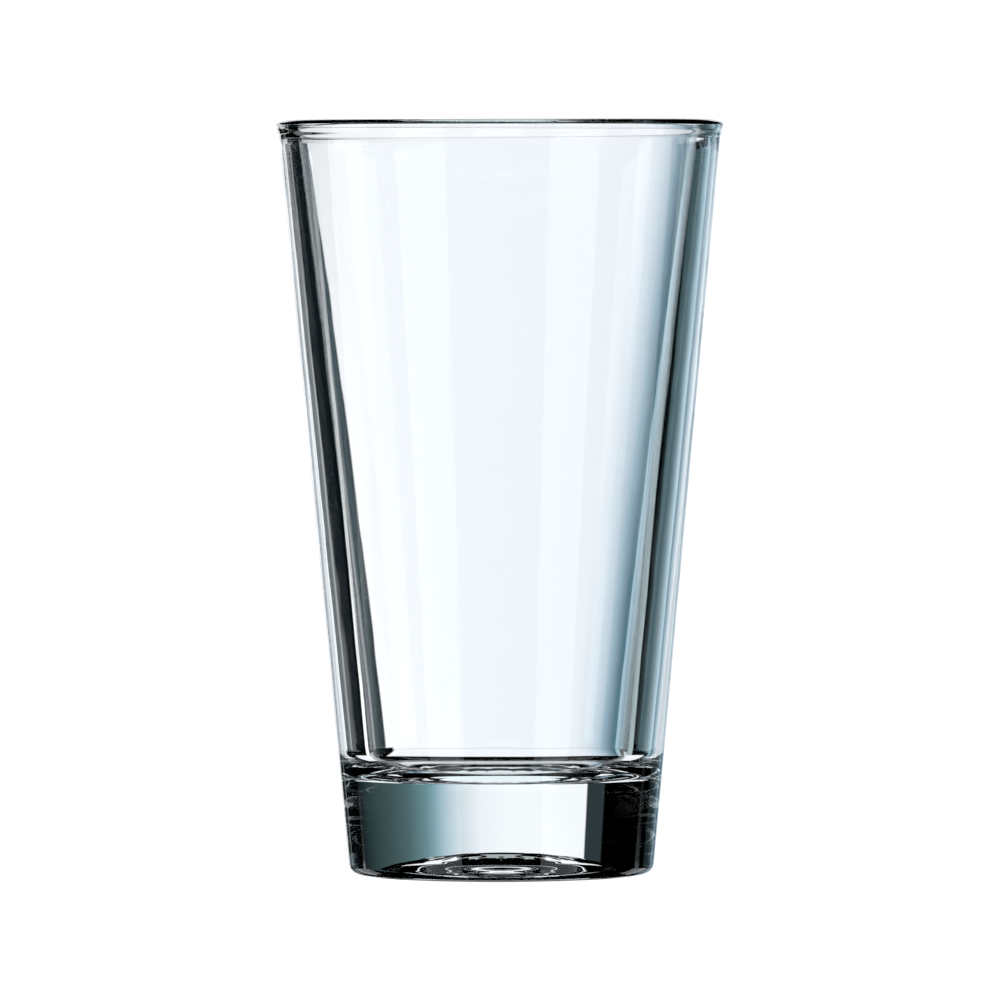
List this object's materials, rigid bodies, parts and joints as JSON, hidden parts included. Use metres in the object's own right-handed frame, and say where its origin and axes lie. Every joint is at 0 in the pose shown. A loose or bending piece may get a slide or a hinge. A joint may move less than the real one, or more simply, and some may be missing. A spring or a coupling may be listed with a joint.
{
  "type": "pint glass",
  "caption": "Conical pint glass pressed in one piece from clear glass, with a rounded lip, a low bead under it, a thick base and a domed hollow in the foot.",
  "frame": {"origin": "centre of the circle that the foot stands on, in the plane of the surface under the glass", "axes": "+Z along the glass's axis, from the foot up to the lip; the glass is round, so +X and +Y are alike"},
  "size_m": [0.0888, 0.0888, 0.1501],
  "materials": {
    "clear_glass": "clear fire-polished soda-lime glass, faintly blue-green where it is thick"
  },
  "bodies": {
    "root": {"tumbler": "clear_glass"}
  },
  "joints": []
}
